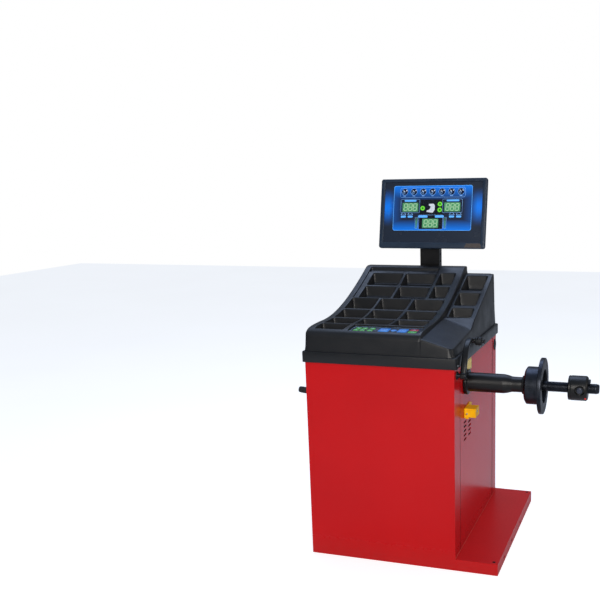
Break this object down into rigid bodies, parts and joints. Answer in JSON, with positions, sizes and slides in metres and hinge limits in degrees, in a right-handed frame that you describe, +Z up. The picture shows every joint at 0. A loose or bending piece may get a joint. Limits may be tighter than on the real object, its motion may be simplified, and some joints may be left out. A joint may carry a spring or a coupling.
{
  "type": "wheel balancer",
  "caption": "Workshop wheel balancer: red steel cabinet with weight tray, tilting display, distance gauge, and a belt-driven spindle with flange and quick nut.",
  "frame": {"origin": "middle of the footprint box on the floor, pegs and shaft included", "axes": "+X along the spindle towards its free end, +Y from the operator's side to the back, +Z up"},
  "size_m": [1.1486, 0.7574, 1.3818],
  "materials": {
    "red_enamel": "glossy",
    "red_enamel_base": "glossy",
    "black_abs": "fine grained",
    "black_nylon": "satin",
    "yellow_enamel": "satin",
    "peg_rubber": "matte",
    "keypad_film": "satin film",
    "key_green": "satin",
    "key_blue": "satin",
    "key_red": "satin",
    "cast_iron": "painted",
    "piezo_ceramic": "glazed",
    "black_enamel": "satin black",
    "bearing_steel": "ground",
    "black_steel": "black oxide",
    "zinc_steel": "zinc plated",
    "circuit_board": "solder mask",
    "belt_rubber": "matte",
    "button_plastic": "satin",
    "navy_plastic": "satin",
    "display_glass": "printed film",
    "rocker_plastic": "glossy"
  },
  "bodies": {
    "cabinet": {"front_panel": "red_enamel", "left_side_panel": "red_enamel", "right_side_panel": "red_enamel", "rear_panel": "red_enamel", "base_tray": "red_enamel_base", "weight_tray": "black_abs", "rear_hole_plug": "black_nylon", "side_stop_block": "yellow_enamel", "cone_peg_1": "peg_rubber", "cone_peg_2": "peg_rubber", "cone_peg_3": "peg_rubber", "keypad_plate": "keypad_film", "spindle_bracket": "cast_iron", "spindle_column": "cast_iron", "force_sensor_vertical": "piezo_ceramic", "force_sensor_horizontal": "piezo_ceramic", "spindle_housing": "black_enamel", "bearing_rear": "bearing_steel", "bearing_front": "bearing_steel", "spindle_seal": "black_nylon", "encoder_sensor": "circuit_board", "motor_body": "cast_iron", "drive_belt": "belt_rubber", "motor_bracket": "cast_iron", "gauge_bush": "black_nylon", "gauge_rail": "zinc_steel", "gauge_sensor": "circuit_board", "monitor_post": "black_enamel", "monitor_bracket": "black_enamel", "power_inlet": "black_nylon", "control_board": "circuit_board", "transformer": "cast_iron"},
    "spindle": {"spindle_shaft": "black_steel", "wheel_flange": "black_steel", "spindle_pulley": "zinc_steel", "encoder_disc": "black_steel"},
    "rotor": {"motor_rotor": "zinc_steel"},
    "nut": {"quick_nut": "black_enamel"},
    "nut_release": {"nut_button": "button_plastic"},
    "nut_clasp": {"nut_jaw": "black_steel"},
    "carriage": {"gauge_carriage": "black_nylon"},
    "gauge": {"gauge_rod": "zinc_steel", "gauge_arm": "black_enamel", "gauge_head": "black_nylon"},
    "monitor": {"monitor_bezel": "navy_plastic", "display_panel": "display_glass", "monitor_back": "navy_plastic", "monitor_yoke": "black_enamel"},
    "rocker": {"power_rocker": "rocker_plastic"},
    "pad_green_a1": {"key_green_a1": "key_green"},
    "pad_green_a2": {"key_green_a2": "key_green"},
    "pad_green_b1": {"key_green_b1": "key_green"},
    "pad_green_b2": {"key_green_b2": "key_green"},
    "pad_green_c1": {"key_green_c1": "key_green"},
    "pad_green_c2": {"key_green_c2": "key_green"},
    "pad_blue_left": {"key_blue_left": "key_blue"},
    "pad_blue_round": {"key_blue_round": "key_blue"},
    "pad_blue_right": {"key_blue_right": "key_blue"},
    "pad_stop": {"key_stop": "key_red"},
    "pad_start": {"key_start": "key_green"}
  },
  "joints": [
    {"name": "spindle_spin", "type": "hinge", "parent": "cabinet", "child": "spindle", "pos_m": [0.0443, -0.20725, 0.662], "axis": [1, 0, 0], "continuous": true},
    {"name": "motor_spin", "type": "hinge", "parent": "cabinet", "child": "rotor", "pos_m": [-0.1557, 0.06075, 0.47], "axis": [1, 0, 0], "continuous": true},
    {"name": "nut_slide", "type": "slide", "parent": "spindle", "child": "nut", "axis": [1, 0, 0], "range_m": [-0.08, 0.03]},
    {"name": "nut_press", "type": "slide", "parent": "nut", "child": "nut_release", "axis": [0, 1, 0], "range_m": [0, 0.004], "stiffness_N_per_m": 1500},
    {"name": "nut_unclasp", "type": "slide", "parent": "nut", "child": "nut_clasp", "axis": [0, 0, 1], "range_m": [0, 0.003]},
    {"name": "gauge_slide", "type": "slide", "parent": "cabinet", "child": "carriage", "axis": [1, 0, 0], "range_m": [0, 0.25], "stiffness_N_per_m": 20},
    {"name": "gauge_swing", "type": "hinge", "parent": "carriage", "child": "gauge", "pos_m": [0.1243, -0.33725, 0.714], "axis": [1, 0, 0], "range_deg": [0, 100]},
    {"name": "monitor_tilt", "type": "hinge", "parent": "cabinet", "child": "monitor", "pos_m": [-0.1757, 0.3527, 1.23002], "axis": [1, 0, 0], "range_deg": [-15, 10]},
    {"name": "power_switch", "type": "hinge", "parent": "cabinet", "child": "rocker", "pos_m": [-0.3357, 0.32875, 0.176], "axis": [1, 0, 0], "range_deg": [0, 14]},
    {"name": "press_green_a1", "type": "slide", "parent": "cabinet", "child": "pad_green_a1", "axis": [0, 0.0732, -0.9973], "range_m": [0, 0.001], "stiffness_N_per_m": 400},
    {"name": "press_green_a2", "type": "slide", "parent": "cabinet", "child": "pad_green_a2", "axis": [0, 0.0732, -0.9973], "range_m": [0, 0.001], "stiffness_N_per_m": 400},
    {"name": "press_green_b1", "type": "slide", "parent": "cabinet", "child": "pad_green_b1", "axis": [0, 0.0732, -0.9973], "range_m": [0, 0.001], "stiffness_N_per_m": 400},
    {"name": "press_green_b2", "type": "slide", "parent": "cabinet", "child": "pad_green_b2", "axis": [0, 0.0732, -0.9973], "range_m": [0, 0.001], "stiffness_N_per_m": 400},
    {"name": "press_green_c1", "type": "slide", "parent": "cabinet", "child": "pad_green_c1", "axis": [0, 0.0732, -0.9973], "range_m": [0, 0.001], "stiffness_N_per_m": 400},
    {"name": "press_green_c2", "type": "slide", "parent": "cabinet", "child": "pad_green_c2", "axis": [0, 0.0732, -0.9973], "range_m": [0, 0.001], "stiffness_N_per_m": 400},
    {"name": "press_blue_left", "type": "slide", "parent": "cabinet", "child": "pad_blue_left", "axis": [0, 0.0732, -0.9973], "range_m": [0, 0.001], "stiffness_N_per_m": 400},
    {"name": "press_blue_round", "type": "slide", "parent": "cabinet", "child": "pad_blue_round", "axis": [0, 0.0732, -0.9973], "range_m": [0, 0.001], "stiffness_N_per_m": 400},
    {"name": "press_blue_right", "type": "slide", "parent": "cabinet", "child": "pad_blue_right", "axis": [0, 0.0732, -0.9973], "range_m": [0, 0.001], "stiffness_N_per_m": 400},
    {"name": "press_stop", "type": "slide", "parent": "cabinet", "child": "pad_stop", "axis": [0, 0.0732, -0.9973], "range_m": [0, 0.001], "stiffness_N_per_m": 400},
    {"name": "press_start", "type": "slide", "parent": "cabinet", "child": "pad_start", "axis": [0, 0.0732, -0.9973], "range_m": [0, 0.001], "stiffness_N_per_m": 400}
  ],
  "couplings": [
    {"joint": "motor_spin", "follows": "spindle_spin", "ratio": 3.5},
    {"joint": "nut_unclasp", "follows": "nut_press", "ratio": 0.75}
  ]
}
